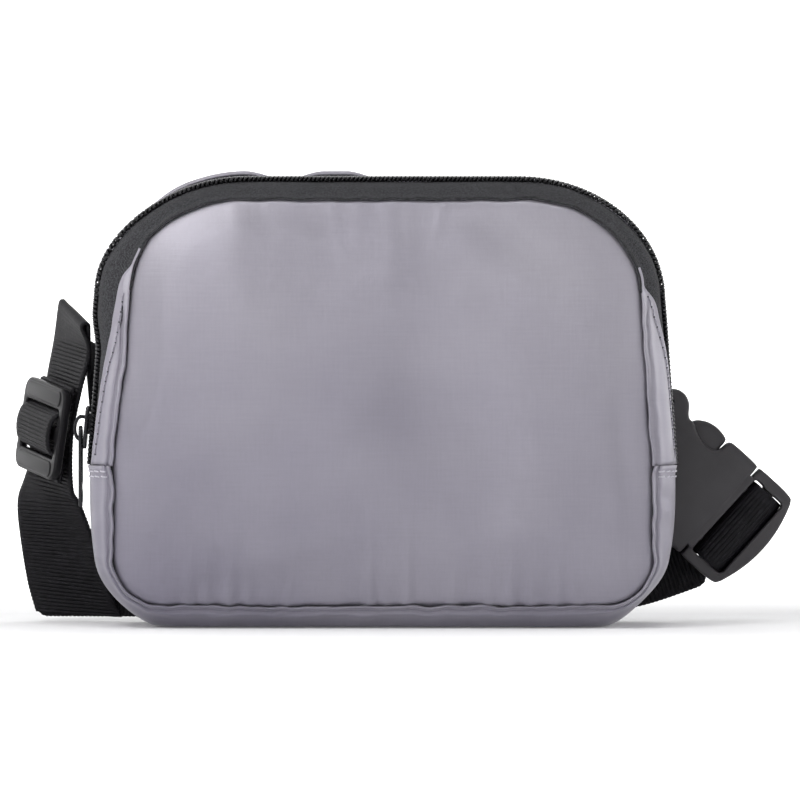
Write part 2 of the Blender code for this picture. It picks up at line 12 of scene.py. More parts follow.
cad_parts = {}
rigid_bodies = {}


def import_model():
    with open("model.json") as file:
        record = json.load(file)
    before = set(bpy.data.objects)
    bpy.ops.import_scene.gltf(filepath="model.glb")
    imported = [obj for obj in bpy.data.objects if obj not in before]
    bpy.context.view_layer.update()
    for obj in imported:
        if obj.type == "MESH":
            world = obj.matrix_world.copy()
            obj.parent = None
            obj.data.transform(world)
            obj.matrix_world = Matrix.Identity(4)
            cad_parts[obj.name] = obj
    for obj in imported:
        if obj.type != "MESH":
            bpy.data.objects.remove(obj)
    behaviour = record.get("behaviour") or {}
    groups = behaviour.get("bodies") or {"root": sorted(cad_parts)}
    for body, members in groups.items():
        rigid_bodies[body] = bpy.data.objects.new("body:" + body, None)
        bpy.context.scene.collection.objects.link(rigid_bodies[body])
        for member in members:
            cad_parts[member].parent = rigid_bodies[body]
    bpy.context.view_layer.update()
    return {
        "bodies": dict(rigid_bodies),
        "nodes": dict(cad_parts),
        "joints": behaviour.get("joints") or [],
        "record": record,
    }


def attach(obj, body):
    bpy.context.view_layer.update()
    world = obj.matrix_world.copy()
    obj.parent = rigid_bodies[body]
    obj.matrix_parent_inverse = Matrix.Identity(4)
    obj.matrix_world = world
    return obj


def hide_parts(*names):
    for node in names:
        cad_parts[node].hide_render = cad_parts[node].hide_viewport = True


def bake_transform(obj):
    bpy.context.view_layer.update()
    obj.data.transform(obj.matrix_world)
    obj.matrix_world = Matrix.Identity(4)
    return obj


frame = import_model()
MM = 0.001

# Bag seams, as in the model
HALF_LOW = 92.3 * MM
HALF_TOP = 88.5 * MM
SEAM_BOTTOM = 7.0 * MM
SEAM_TOP = 146.5 * MM
CORNER_LOW = 17.0 * MM
CORNER_X = 42.0 * MM
CORNER_Z = 34.0 * MM
CROSS_Z = 55.0 * MM
HALF_DEPTH = 22.0 * MM
BULGE_SIDE = 8.0 * MM
BULGE_TOP = 6.3 * MM
BULGE_BOTTOM = 9.0 * MM
ZIP_LOW, ZIP_CORNER, ZIP_TOP = -0.08, -0.3, -0.42
ZIP_DRIFT, DRIFT_LOW, DRIFT_RISE = 0.33, 0.078, 0.034
TAPE = 0.54

# Cloth, tape, thread and teeth of the visual pieces
CLOTH = 0.8 * MM
RIM_STEP = 1.25 * MM
ARC_POINTS = 29
FINE_STEP = 0.5 * MM
WEAVE_PITCH = 0.42 * MM
TAPE_PITCH = 0.75 * MM
LINING_PITCH = 0.5 * MM
TAPE_SUNK = 0.35 * MM
TAPE_GAP = 0.25 * MM
LINING_SUNK = 1.5 * MM
FOLD = 0.55 * MM
STITCH_PITCH = 3.5 * MM
STITCH_LENGTH = 2.7 * MM
STITCH_RADIUS = 0.24 * MM
HOLE_RADIUS = 0.34 * MM
CROSS_STITCH_RADIUS = 0.27 * MM
CROSS_STITCH_ROWS = (1.9 * MM, 3.7 * MM)
CROSS_STITCH_PITCH = 0.125
CROSS_STITCH_LENGTH = 0.085
TOOTH_PITCH = 1.45 * MM
POINTS_A_TOOTH = 12
TOOTH_RADIUS = 0.42 * MM
TUBE_SIDES = 6


# ------ materials

POINTINESS = 7


class Nodes:
    """A short way to write a material's node tree."""

    def __init__(self, name, colour, roughness, metallic=0.0):
        self.material = bpy.data.materials.new(name)
        self.material.use_nodes = True
        self.tree = self.material.node_tree
        self.shader = self.tree.nodes["Principled BSDF"]
        self.paint(Base_Color=(*colour, 1.0), Roughness=roughness, Metallic=metallic)
        self.place = self.new("TexCoord").outputs["Object"]

    def feed(self, socket, value):
        """Links an input to another node's output or gives it a plain value."""
        if isinstance(value, bpy.types.NodeSocket):
            self.tree.links.new(value, socket)
        else:
            socket.default_value = value

    def new(self, kind):
        return self.tree.nodes.new("ShaderNode" + kind)

    def node(self, kind, result=0, **inputs):
        node = self.new(kind)
        for name, value in inputs.items():
            self.feed(node.inputs[name], value)
        return node.outputs[result]

    def math(self, operation, a, b=0.0, c=0.0):
        node = self.new("Math")
        node.operation = operation
        for socket, value in zip(node.inputs, (a, b, c)):
            self.feed(socket, value)
        return node.outputs[0]

    def noise(self, scale, detail=2.0, place=None):
        return self.node("TexNoise", Vector=place or self.place, Scale=scale, Detail=detail)

    def stretched(self, x, y, z):
        return self.node("Mapping", Vector=self.place, Scale=(x, y, z))

    def ramp(self, value, low, high, at=(0.0, 1.0)):
        node = self.new("ValToRGB")
        self.tree.links.new(value, node.inputs[0])
        for element, colour, position in zip(node.color_ramp.elements, (low, high), at):
            element.color = (*colour, 1.0)
            element.position = position
        return node.outputs[0]

    def bump(self, height, distance, strength, **below):
        return self.node("Bump", Height=height, Distance=distance, Strength=strength, **below)

    def axes(self):
        """The X, Y and Z of a point on the object."""
        split = self.new("SeparateXYZ")
        self.tree.links.new(self.place, split.inputs[0])
        return split.outputs

    def paint(self, **values):
        """The finished material, with shader inputs by name and _ for a space."""
        for name, value in values.items():
            self.feed(self.shader.inputs[name.replace("_", " ")], value)
        return self.material

    def waves(self, axis, pitch):
        """Threads along one object axis, from 0 to 1, one per pitch."""
        turn = self.math("MULTIPLY", self.axes()[axis], math.tau / pitch)
        return self.math("MULTIPLY_ADD", self.math("SINE", turn), 0.5, 0.5)


def nylon(name):
    """Lilac satin nylon: fine plain weave, faint slubs, random cloudy tone, painted shade that darkens it
    lower down, and sheen.
    """
    n = Nodes(name, (0.4, 0.4, 0.45), 0.42, 0.35)
    height = n.axes()[2]
    clouds = n.math("MULTIPLY_ADD", n.noise(9.0, 3.0), 0.8, -0.1)
    # Painted shade: the colour goes lighter higher up the bag and darker lower down, over random cloudy
    # tone from the noise.
    drift = n.math("MULTIPLY_ADD", height, 2.4, clouds)
    colour = n.ramp(drift, (0.2, 0.188, 0.24), (0.41, 0.392, 0.44), (0.22, 0.78))
    across = n.waves(0, WEAVE_PITCH)
    along = n.waves(2, WEAVE_PITCH)
    weave = n.math("MULTIPLY", across, along)
    slubs_up = n.noise(1.0, 2.0, n.stretched(1500.0, 1500.0, 110.0))
    slubs_across = n.noise(1.0, 2.0, n.stretched(110.0, 110.0, 1500.0))
    slubs = n.math("ADD", slubs_up, slubs_across)
    shade = n.math("MULTIPLY_ADD", weave, 0.1, 0.92)
    shade = n.math("MULTIPLY", shade, n.math("MULTIPLY_ADD", slubs, 0.1, 0.9))
    mix = n.new("Mix")
    mix.data_type = "RGBA"
    mix.blend_type = "MULTIPLY"
    mix.inputs[0].default_value = 1.0
    n.feed(mix.inputs[6], colour)
    n.feed(mix.inputs[7], shade)
    rough = n.math("MULTIPLY_ADD", slubs, 0.1, 0.34)
    fine = n.bump(weave, 0.00004, 0.55)
    normal = n.bump(slubs, 0.0001, 0.25, Normal=fine)
    return n.paint(Base_Color=mix.outputs[2], Roughness=rough, Sheen_Weight=0.25, Sheen_Roughness=0.35,
                   Anisotropic=0.35, Specular_IOR_Level=0.7, Normal=normal)


def tape_cloth(name, colour=(0.011, 0.011, 0.012)):
    """Matt black zip tape with a herringbone of fine diagonal threads."""
    n = Nodes(name, colour, 0.85)
    x, y, z = n.axes()
    total = n.math("ADD", n.math("ADD", x, z), y)
    one = n.math("SINE", n.math("MULTIPLY", total, math.tau / TAPE_PITCH))
    less = n.math("SUBTRACT", n.math("ADD", x, z), y)
    two = n.math("SINE", n.math("MULTIPLY", less, math.tau / TAPE_PITCH))
    weave = n.math("MULTIPLY_ADD", n.math("MULTIPLY", one, two), 0.5, 0.5)
    fuzz = n.noise(1600.0, 2.0)
    both = n.math("MULTIPLY", weave, fuzz)
    fuzzy = n.ramp(both, colour, tuple(c * 11.0 for c in colour), (0.12, 0.62))
    return n.paint(Base_Color=fuzzy, Specular_IOR_Level=0.2, Normal=n.bump(both, 0.00012, 0.8))


def belt_cloth(name):
    """Black webbing. The ribs are in the mesh, and this adds threads along each rib and grey fuzz."""
    n = Nodes(name, (0.01, 0.01, 0.012), 0.6)
    threads = n.noise(1.0, 2.0, n.stretched(2600.0, 1400.0, 2600.0))
    fuzz = n.noise(420.0, 3.0)
    mixed = n.math("MULTIPLY", threads, fuzz)
    colour = n.ramp(mixed, (0.003, 0.0027, 0.0038), (0.014, 0.013, 0.016), (0.12, 0.45))
    return n.paint(Base_Color=colour, Roughness=n.math("MULTIPLY_ADD", fuzz, 0.25, 0.45),
                   Specular_IOR_Level=0.16, Normal=n.bump(threads, 0.0001, 0.7))


def moulding(name, colour=(0.037, 0.0345, 0.038), roughness=0.45, grain=0.5, specular=0.38):
    """Satin black acetal with a fine spark-eroded grain and faint handling marks."""
    n = Nodes(name, colour, roughness)
    grain_noise = n.noise(5200.0, 2.0)
    marks = n.noise(60.0, 4.0)
    worn = n.ramp(marks, colour, tuple(c * 1.35 for c in colour), (0.35, 0.8))
    return n.paint(Base_Color=worn, Roughness=n.math("MULTIPLY_ADD", marks, 0.16, roughness - 0.07),
                   Specular_IOR_Level=specular, Normal=n.bump(grain_noise, 0.00003, grain))


def black_metal(name):
    """Gloss black plated zinc, worn a little brighter along its edges."""
    n = Nodes(name, (0.015, 0.015, 0.017), 0.24, 0.75)
    wear = n.node("NewGeometry", POINTINESS)
    return n.paint(Base_Color=n.ramp(wear, (0.014, 0.014, 0.016), (0.16, 0.16, 0.17), (0.52, 0.64)),
                   Roughness=n.math("MULTIPLY_ADD", n.noise(300.0, 3.0), 0.18, 0.16),
                   Normal=n.bump(n.noise(900.0), 0.00002, 0.4))


def thread_material(name, colour):
    """Twisted polyester thread."""
    n = Nodes(name, colour, 0.55)
    twist = n.noise(3200.0, 1.0)
    twisted = n.ramp(twist, tuple(c * 0.6 for c in colour), colour, (0.3, 0.65))
    return n.paint(Base_Color=twisted, Sheen_Weight=0.3, Normal=n.bump(twist, 0.00006, 0.8))


def lining_cloth(name):
    """Charcoal plain-weave polyester."""
    n = Nodes(name, (0.05, 0.05, 0.055), 0.8)
    weave = n.math("MULTIPLY", n.waves(0, LINING_PITCH), n.waves(2, LINING_PITCH))
    return n.paint(Base_Color=n.ramp(weave, (0.03, 0.03, 0.034), (0.075, 0.075, 0.082)),
                   Normal=n.bump(weave, 0.00006, 0.6))


# ------ shapes

def smoothstep(value):
    value = min(max(value, 0.0), 1.0)
    return value * value * (3.0 - 2.0 * value)


def hill(offset, width):
    """1 in the middle, falling smoothly to 0 on both sides."""
    return math.exp(-(offset / width) ** 2)


def arc(cx, cz, rx, rz, start, end):
    angles = np.radians(np.linspace(start, end, ARC_POINTS))
    return [Vector((cx + rx * math.cos(a), 0.0, cz + rz * math.sin(a))) for a in angles]


def unit_rows(rows, spare=0.0):
    return rows / (np.linalg.norm(rows, axis=1)[:, None] + spare)


def running_length(places):
    return np.r_[0.0, np.cumsum(np.linalg.norm(np.diff(places, axis=0), axis=1))]


def resample(points, step):
    """Points about one step apart along a polyline."""
    places = np.array(points)
    lengths = running_length(places)
    count = max(2, int(round(lengths[-1] / step)))
    at = np.linspace(0.0, lengths[-1], count + 1)
    return np.stack([np.interp(at, lengths, places[:, k]) for k in range(3)], axis=1)


def half_outline(side, middle, height, reach_x, reach_z, start):
    """From one cross seam to the other, round two corners of the bag."""
    ends = [Vector((sign * HALF_LOW, 0.0, CROSS_Z)) for sign in (side, -side)]
    first = arc(side * middle, height, reach_x, reach_z, start, start + 90.0)
    second = arc(-side * middle, height, reach_x, reach_z, start + 90.0, start + 180.0)
    return resample(ends[:1] + first + second + ends[1:], RIM_STEP)


UPPER_LEFT = (66.0, 28.0, 118.0, 20.0)
UPPER_LEFT_FULLEST = (92.0, 16.0, 118.0, 24.0)
UPPER_LEFT_SHIFT = 2.0 * MM


def bump_between(z, start, rise, end, fall):
    """1 between two heights, falling smoothly to 0 outside them. All in mm."""
    z = z / MM
    return smoothstep((z - start) / rise) * (1.0 - smoothstep((z - end) / fall))


def settle(rim):
    """The upper left of the front seam sits a little further in."""
    for point in rim:
        if point[0] < 0.0:
            point[0] += UPPER_LEFT_SHIFT * bump_between(point[2], *UPPER_LEFT)
    return rim


LOWER = half_outline(-1, HALF_LOW - CORNER_LOW, SEAM_BOTTOM + CORNER_LOW, CORNER_LOW, CORNER_LOW, 180.0)
UPPER = settle(half_outline(1, HALF_TOP - CORNER_X, SEAM_TOP - CORNER_Z, CORNER_X, CORNER_Z, 0.0))
WHOLE = np.vstack([LOWER, UPPER[1:-1]])


def normals_of(rim, closed=False):
    if closed:
        along = np.roll(rim, -1, axis=0) - np.roll(rim, 1, axis=0)
    else:
        along = np.gradient(rim, axis=0)
    along = unit_rows(along)
    return np.stack([along[:, 2], np.zeros(len(rim)), -along[:, 0]], axis=1)


def bulge_at(z):
    if z > CROSS_Z:
        return BULGE_SIDE + (BULGE_TOP - BULGE_SIDE) * (z - CROSS_Z) / (SEAM_TOP - CROSS_Z)
    return BULGE_SIDE + (BULGE_BOTTOM - BULGE_SIDE) * smoothstep((CROSS_Z - z) / (CROSS_Z - SEAM_BOTTOM))


def stand_at(point):
    """How far the gusset stands out: slack at the lower corners, fuller at the upper left."""
    x, z = point[0] / MM, point[2] / MM
    stand = bulge_at(point[2])
    slack = math.exp(-((abs(x) - 87.0) / 12.0) ** 2 - ((z - 12.0) / 17.0) ** 2)
    stand -= slack * (5.4 if x > 0.0 else 4.2) * MM
    if x < 0.0:
        stand += UPPER_LEFT_SHIFT * bump_between(point[2], *UPPER_LEFT)
        stand += 2.4 * MM * bump_between(point[2], *UPPER_LEFT_FULLEST)
    return stand


def zip_middle(point):
    """Where the zip runs across the gusset; on the right it drifts back as it goes down."""
    z = point[2]
    corner = SEAM_TOP - CORNER_Z
    drift = ZIP_DRIFT * (1.0 - smoothstep((z - DRIFT_LOW) / DRIFT_RISE)) if point[0] > 0.0 else 0.0
    if z < corner:
        return ZIP_LOW + (ZIP_CORNER - ZIP_LOW) * (z - CROSS_Z) / (corner - CROSS_Z) + drift
    return ZIP_CORNER + (ZIP_TOP - ZIP_CORNER) * math.sin((z - corner) / CORNER_Z * math.pi / 2.0) + drift


def tape_front(point):
    """The visible edge of the front tape, which nears the front seam as it goes up."""
    z = point[2]
    if point[0] < 0.0:
        wide = 0.09 * smoothstep((z - 0.084) / 0.02)
    else:
        wide = 0.16 * smoothstep((z - 0.107) / 0.012)
    return max(zip_middle(point) - TAPE - wide, -1.0)


def tape_rear(point):
    """The edge of the rear tape, across the gusset."""
    return min(zip_middle(point) + TAPE, 0.9)


# The larger gathers along the bottom seam: x in mm, height and reach
LARGE_PUCKERS = (
    (-66, 0.7, 9), (-60, 0.6, 12), (-52, 0.8, 10), (-46, 0.5, 8), (-5, 0.8, 14), (1, 0.5, 9),
    (8, 0.7, 11), (36, 0.6, 9), (43, 0.8, 12), (50, 0.6, 9), (59, 0.6, 10),
)
SMALL_PUCKERS = 86
PUCKER_SEED = 11


def make_puckers():
    """Small ridges that the seam gathers into the cloth: x, z, width, reach, height and lean."""
    dice = random.Random(PUCKER_SEED)
    puckers = []
    for index in range(SMALL_PUCKERS):
        x = dice.uniform(-88.0, 88.0) * MM
        low = index % 3 != 0
        z = SEAM_BOTTOM if low else SEAM_TOP
        height = dice.uniform(0.2, 0.65) * MM * (1.0 if low else 0.45)
        width = dice.uniform(0.9, 2.6) * MM
        reach = dice.uniform(3.0, 11.0) * MM
        puckers.append((x, z, width, reach, height, dice.uniform(-0.25, 0.25)))
    for x, height, reach in LARGE_PUCKERS:
        puckers.append((x * MM, SEAM_BOTTOM, 1.7 * MM, reach * MM, 2.4 * height * MM, 0.05))
    return puckers


PUCKERS = make_puckers()


def pucker_height(x, z):
    total = 0.0
    for px, pz, width, reach, height, lean in PUCKERS:
        rise = abs(z - pz)
        if rise > 3.0 * reach:
            continue
        offset = (x - px - lean * rise) / width
        if abs(offset) < 3.0:
            total += height * math.exp(-offset * offset - rise / reach)
    return total


def soft_noise(x, y, z, size):
    return noise.noise(Vector((x / size, y / size, z / size)))


def seam_wave(x, z):
    """How the seam line wanders in and out."""
    return 0.55 * MM * soft_noise(x, 0.31, z, 0.013) + 0.5 * MM * soft_noise(x, 7.7, z, 0.034)


def new_object(name, data):
    obj = bpy.data.objects.new(name, data)
    bpy.context.scene.collection.objects.link(obj)
    return obj


def mesh_object(name, vertices, faces, material):
    mesh = bpy.data.meshes.new(name)
    mesh.from_pydata([tuple(v) for v in vertices], [], faces)
    mesh.update()
    mesh.materials.append(material)
    mesh.shade_smooth()
    return new_object(name, mesh)


def grid_faces(rows, columns, wrap, start=0):
    faces = []
    for row in range(rows - 1):
        for column in range(columns if wrap else columns - 1):
            other = (column + 1) % columns
            a, b = start + row * columns, start + (row + 1) * columns
            faces.append((a + column, a + other, b + other, b + column))
    return faces


def sheet_object(name, grid, thickness, material, wrap=False, tip=None, offset=-1.0):
    """A cloth sheet through a grid of points, thickened away from its outer face."""
    rows, columns = grid.shape[:2]
    vertices = list(grid.reshape(-1, 3))
    faces = grid_faces(rows, columns, wrap)
    if tip is not None:
        vertices.append(tip)
        last = (rows - 1) * columns
        faces += [(last + c, last + (c + 1) % columns, len(vertices) - 1) for c in range(columns)]
    obj = mesh_object(name, vertices, faces, material)
    solidify = obj.modifiers.new("Thickness", "SOLIDIFY")
    solidify.thickness = thickness
    solidify.offset = offset
    return obj


def tube(name, paths, radius, material):
    """Round threads or wires, one for each path, as one mesh."""
    vertices, faces = [], []
    for path in paths:
        path = np.asarray(path)
        count = len(path)
        tangent = unit_rows(np.gradient(path, axis=0), 1e-12)
        side = unit_rows(np.cross(tangent, [0.13, 0.41, 0.9]), 1e-12)
        other = np.cross(tangent, side)
        start = len(vertices)
        for k in range(count):
            for s in range(TUBE_SIDES):
                a = math.tau * s / TUBE_SIDES
                vertices.append(path[k] + radius * (math.cos(a) * side[k] + math.sin(a) * other[k]))
        faces += [face[::-1] for face in grid_faces(count, TUBE_SIDES, True, start)]
        last = start + (count - 1) * TUBE_SIDES
        faces.append(tuple(start + s for s in range(TUBE_SIDES)))
        faces.append(tuple(last + s for s in reversed(range(TUBE_SIDES))))
    return mesh_object(name, vertices, faces, material)


# ------ bag cloth

PANEL_RINGS = 68
RING_CROWDING = 1.35
FRONT_CROWN = 8.6 * MM
BACK_CROWN = 2.2 * MM
SEAM_SUNK = 2.4 * MM
SEAM_RISE = 4.3 * MM
SEAM_REACH = 1.1 * MM

# Broad dents and swells: x, z, angle, length, width in mm and degrees, then depth
DENTS = (
    (-56, 100, 74, 42, 24, 1.5), (22, 78, 100, 48, 20, -2.0), (66, 82, 82, 38, 16, 1.0),
    (-18, 58, 58, 38, 14, 0.6), (-62, 40, 40, 26, 10, -0.9), (46, 36, 24, 36, 10, 0.8),
    (-4, 112, 30, 34, 8, 0.5), (-30, 26, 14, 30, 7, 0.7), (40, 122, 150, 24, 7, 0.5),
    (-82, 88, 80, 14, 4, -0.8), (-80, 70, 60, 10, 4, 0.6), (82, 60, 96, 20, 4, -0.6),
)
DENT_DEPTH = 1.6 * MM


def panel(name, side, crown, material, crease):
    """A crowned panel in rings from its seam to its middle."""
    middle = np.array([0.0, 0.0, 0.5 * (SEAM_TOP + SEAM_BOTTOM)])
    normals = normals_of(WHOLE, closed=True)
    shares = 1.0 - np.linspace(0.0, 1.0, PANEL_RINGS, endpoint=False) ** RING_CROWDING
    rows = []
    for share in shares:
        row = []
        for point, normal in zip(WHOLE, normals):
            edge = point + normal * (seam_wave(point[0], point[2]) + 0.1 * MM)
            place = middle + (edge - middle) * share
            inside = (1.0 - share) * np.linalg.norm(edge - middle)
            height = crown * (1.0 - share ** 2.5)
            height += SEAM_RISE * (1.0 - math.exp(-inside / SEAM_REACH)) - SEAM_SUNK
            height += pucker_height(place[0], place[2]) * min(1.0, inside / (1.0 * MM)) * crease
            loose = smoothstep(inside / (14.0 * MM)) * crease
            height += loose * folds(place[0], place[2])
            place[1] = side * (HALF_DEPTH - 0.1 * MM + height)
            row.append(place)
        rows.append(row if side < 0 else row[::-1])
    tip = middle.copy()
    tip[1] = side * (HALF_DEPTH + crown + 1.8 * MM + crease * folds(0.0, middle[2]))
    return sheet_object(name, np.array(rows), CLOTH, material, wrap=True, tip=tip)


def folds(x, z):
    """Broad soft dents and swells of cloth over a half-full bag."""
    height = 2.6 * MM * soft_noise(x, 0.1, z * 0.8, 0.052)
    height += 0.85 * MM * soft_noise(x, 2.3, z * 0.5, 0.019)
    for cx, cz, angle, long, wide, depth in DENTS:
        turn = math.radians(angle)
        dx, dz = x / MM - cx, z / MM - cz
        u = (dx * math.cos(turn) + dz * math.sin(turn)) / long
        v = (-dx * math.sin(turn) + dz * math.cos(turn)) / wide
        height += depth * DENT_DEPTH * math.exp(-u * u - v * v)
    return height


# The gusset rolls over beside a seam and then sinks into it
ROLL = 1.5 * MM
ROLL_PLACE = 1.7 * MM
ROLL_WIDTH = 1.2 * MM
ROLL_TOP = 0.1
ROLL_FADE = 0.016
SEAM_DEPTH = 2.3 * MM
SEAM_WIDTH = 0.8 * MM


def gusset_place(point, normal, across, lift=0.0):
    """A point of the gusset, from -1 at the front seam to 1 at the back seam."""
    stand = stand_at(point) * (1.0 - across ** 4) + lift
    stand += seam_wave(point[0], point[2]) * (across ** 8)
    place = point + normal * stand
    near = (1.0 - abs(across)) * HALF_DEPTH
    fades = 1.0 - smoothstep((point[2] - ROLL_TOP) / ROLL_FADE)
    roll = ROLL * fades * hill(near - ROLL_PLACE, ROLL_WIDTH)
    roll -= SEAM_DEPTH * hill(near, SEAM_WIDTH)
    place[1] = across * HALF_DEPTH + math.copysign(roll, across)
    return place


def gusset_crease(place, across, lower):
    """Small gathers that run in from the two seams and soft unevenness between them."""
    near = max(0.0, abs(across) - 0.35) / 0.65
    ridge = 0.75 * MM * near * soft_noise(place[0], place[1] * 0.25, place[2], 0.0062)
    soft = 0.5 * MM * (1.0 - across ** 4) * soft_noise(*place, 0.022)
    return (ridge + soft) * (1.0 if lower else 0.7)


def strip(name, rim, low, high, material, indices=None, count=14, lift=0.0, lower=False, shape=None):
    """Gusset cloth or tape between two edges, which are functions of a rim point."""
    normals = normals_of(rim)
    indices = range(len(rim)) if indices is None else indices
    rows = []
    shares = np.linspace(0.0, 1.0, count + 1)
    if lower:
        shares = 0.5 - 0.5 * np.cos(np.pi * shares)
    for share in shares:
        row = []
        for index in indices:
            point, normal = rim[index], normals[index]
            across = low(point) + (high(point) - low(point)) * share
            place = gusset_place(point, normal, across, lift)
            place += normal * gusset_crease(place, across, lower)
            if shape is not None:
                place += normal * shape(place, share)
            place[2] = max(place[2], 0.0)
            row.append(place)
        rows.append(row[::-1])
    return sheet_object(name, np.array(rows), CLOTH, material)


REAR_SWELL = 3.6 * MM
CROSS_FOLD = 1.6 * MM
LEFT_STRIP_TOP = 129.5 * MM
RIGHT_STRIP_TOP = 122.5 * MM


def strip_hem(point):
    """The folded edge of a front strip; it runs out smoothly into the seam at its upper end."""
    start = 0.118 if point[0] < 0.0 else 0.11
    narrow = 0.06 * smoothstep((point[2] - start) / 0.009)
    return max(tape_front(point) + 0.02 - narrow, -0.9985)


def tape_edge(point):
    """The front edge of the zip tape, which reaches a little under the cloth."""
    return max(tape_front(point) - 0.05, -1.0)


def hem_roll(place, share):
    """The folded edge where cloth is turned under along the zip tape."""
    return FOLD * hill(1.0 - share, 0.1)


def rear_swell(place, share):
    """The rear strip stands a little proud of the zip in two places on top."""
    x = place[0] / MM
    swell = smoothstep((x + 92.0) / 26.0) * smoothstep((-30.0 - x) / 18.0)
    swell += smoothstep((x + 36.0) / 16.0) * smoothstep((3.0 - x) / 16.0)
    high = smoothstep((place[2] - 0.122) / 0.015)
    return FOLD * hill(share, 0.07) + REAR_SWELL * swell * high * hill(share - 0.15, 0.2)


def cross_seam_roll(place, share):
    """The bottom gusset's folded top edge stands proud of the pieces above it."""
    return 0.7 * MM * hill(CROSS_Z - place[2], CROSS_FOLD)


SEWN_LINE = resample([Vector(p) for p in UPPER], FINE_STEP)
SEWN_NORMALS = normals_of(SEWN_LINE)
STITCH_SHARES = (-0.5, -0.42, -0.2, 0.0, 0.2, 0.42, 0.5)
STITCH_SUNK = 0.45 * MM
HOLE_DEPTH = 0.5 * MM


def sewn_indices(start, high):
    """Points of the sewn line one stitch apart, from the cross seam up to a height."""
    step = STITCH_PITCH / FINE_STEP
    position = start * step
    indices = []
    while position < len(SEWN_LINE) - step:
        if CROSS_Z < SEWN_LINE[int(position)][2] < high:
            indices.append(int(position))
        position += step
    return indices


def on_strip(index, across_at, rise):
    """A place on the strip's creased face, raised from it."""
    point, normal = SEWN_LINE[index], SEWN_NORMALS[index]
    across = across_at(point)
    place = gusset_place(point, normal, across)
    return place + normal * (rise + gusset_crease(place, across, False))


def stitch_paths(across_at, high, lift):
    """Short sunk stitches along the gusset at a place across it."""
    stitches = []
    for index in sewn_indices(1.0, high):
        path = []
        for share in STITCH_SHARES:
            offset = int(round(share * STITCH_LENGTH / FINE_STEP))
            near = min(max(index + offset, 0), len(SEWN_LINE) - 1)
            rise = lift - STITCH_SUNK * (abs(share) * 2.0) ** 4
            path.append(on_strip(near, across_at, rise))
        stitches.append(path)
    return stitches


def needle_hole_shadows(across_at, high, lift):
    """Short dark plugs where the needle went through, one between every two stitches: painted shade for
    the shadow inside each hole.
    """
    holes = []
    for index in sewn_indices(1.5, high):
        holes.append([on_strip(index, across_at, lift - HOLE_DEPTH), on_strip(index, across_at, lift)])
    return holes


def enter(piece, node, body="bag"):
    """Enters a piece in the frame: the node that it stands for and its body."""
    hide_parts(node)
    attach(piece, body)


def add_bag(materials):
    cloth, inner, tape = materials["cloth"], materials["lining"], materials["tape"]
    enter(panel("front_panel_cloth", -1, FRONT_CROWN, cloth, 1.0), "front_panel")
    enter(panel("back_panel_cloth", 1, BACK_CROWN, cloth, 0.35), "back_panel")
    bottom = strip("bottom_gusset_cloth", LOWER, lambda p: -1.0, lambda p: 1.0, cloth, count=56,
                   lower=True, shape=cross_seam_roll)
    enter(bottom, "bottom_gusset")
    rear = strip("rear_strip_cloth", UPPER, lambda p: tape_rear(p) - 0.02, lambda p: 1.0, cloth,
                 shape=rear_swell)
    enter(rear, "rear_strip")
    right = len([p for p in UPPER if p[0] > 0.0 and p[2] < RIGHT_STRIP_TOP])
    left = len([p for p in UPPER if p[0] < 0.0 and p[2] < LEFT_STRIP_TOP])
    sides = {"right": range(0, right), "left": range(len(UPPER) - left, len(UPPER))}
    for side, indices in sides.items():
        piece = strip("front_strip_cloth_" + side, UPPER, lambda p: -1.0, strip_hem, cloth, indices,
                      count=22, shape=hem_roll)
        enter(piece, "front_strip_" + side)
    gap = TAPE_GAP / HALF_DEPTH
    front_tape = strip("zip_tape_front_cloth", UPPER, tape_edge, lambda p: zip_middle(p) - gap, tape,
                       count=26, lift=-TAPE_SUNK)
    enter(front_tape, "zip_tape_front")
    rear_tape = strip("zip_tape_rear_cloth", UPPER, lambda p: zip_middle(p) + gap, tape_rear, tape,
                      lift=-TAPE_SUNK)
    enter(rear_tape, "zip_tape_rear")
    low_lining = strip("bottom_lining_cloth", LOWER, lambda p: -0.97, lambda p: 0.97, inner, count=20,
                       lift=-LINING_SUNK)
    enter(low_lining, "bottom_lining")
    for name in ("front_lining", "back_lining", "top_lining"):
        repaint(name, inner)
    for name in ("front_seam_binding", "back_seam_binding"):
        repaint(name, tape)


def repaint(node, material):
    """Gives a carried-over node its own finish."""
    mesh = frame["nodes"][node].data
    mesh.materials.clear()
    mesh.materials.append(material)


COIL_PLACE = 1.35 * MM
COIL_HALF_WIDTH = 1.75 * MM
COIL_LIFT = 0.55 * MM
COIL_HALF_HEIGHT = 0.6 * MM


def coil_half(name, side, material):
    """A row of zip teeth: a wire helix along the inner edge of one tape."""
    line = resample([Vector(p) for p in UPPER], TOOTH_PITCH / POINTS_A_TOOTH)
    normals = normals_of(line)
    phase = 0.0 if side < 0 else math.pi
    path = []
    for index, (point, normal) in enumerate(zip(line, normals)):
        turn = math.tau * index / POINTS_A_TOOTH + phase
        offset = COIL_PLACE - COIL_HALF_WIDTH * math.cos(turn)
        across = zip_middle(point) + side * offset / HALF_DEPTH
        path.append(gusset_place(point, normal, across, COIL_LIFT + COIL_HALF_HEIGHT * math.sin(turn)))
    return tube(name, [path], TOOTH_RADIUS, material)


def add_zip(materials):
    rows = (("zip_teeth_front", -1, "zip_coil_front"), ("zip_teeth_rear", 1, "zip_coil_rear"))
    for name, side, node in rows:
        enter(coil_half(name, side, materials["coil"]), node)


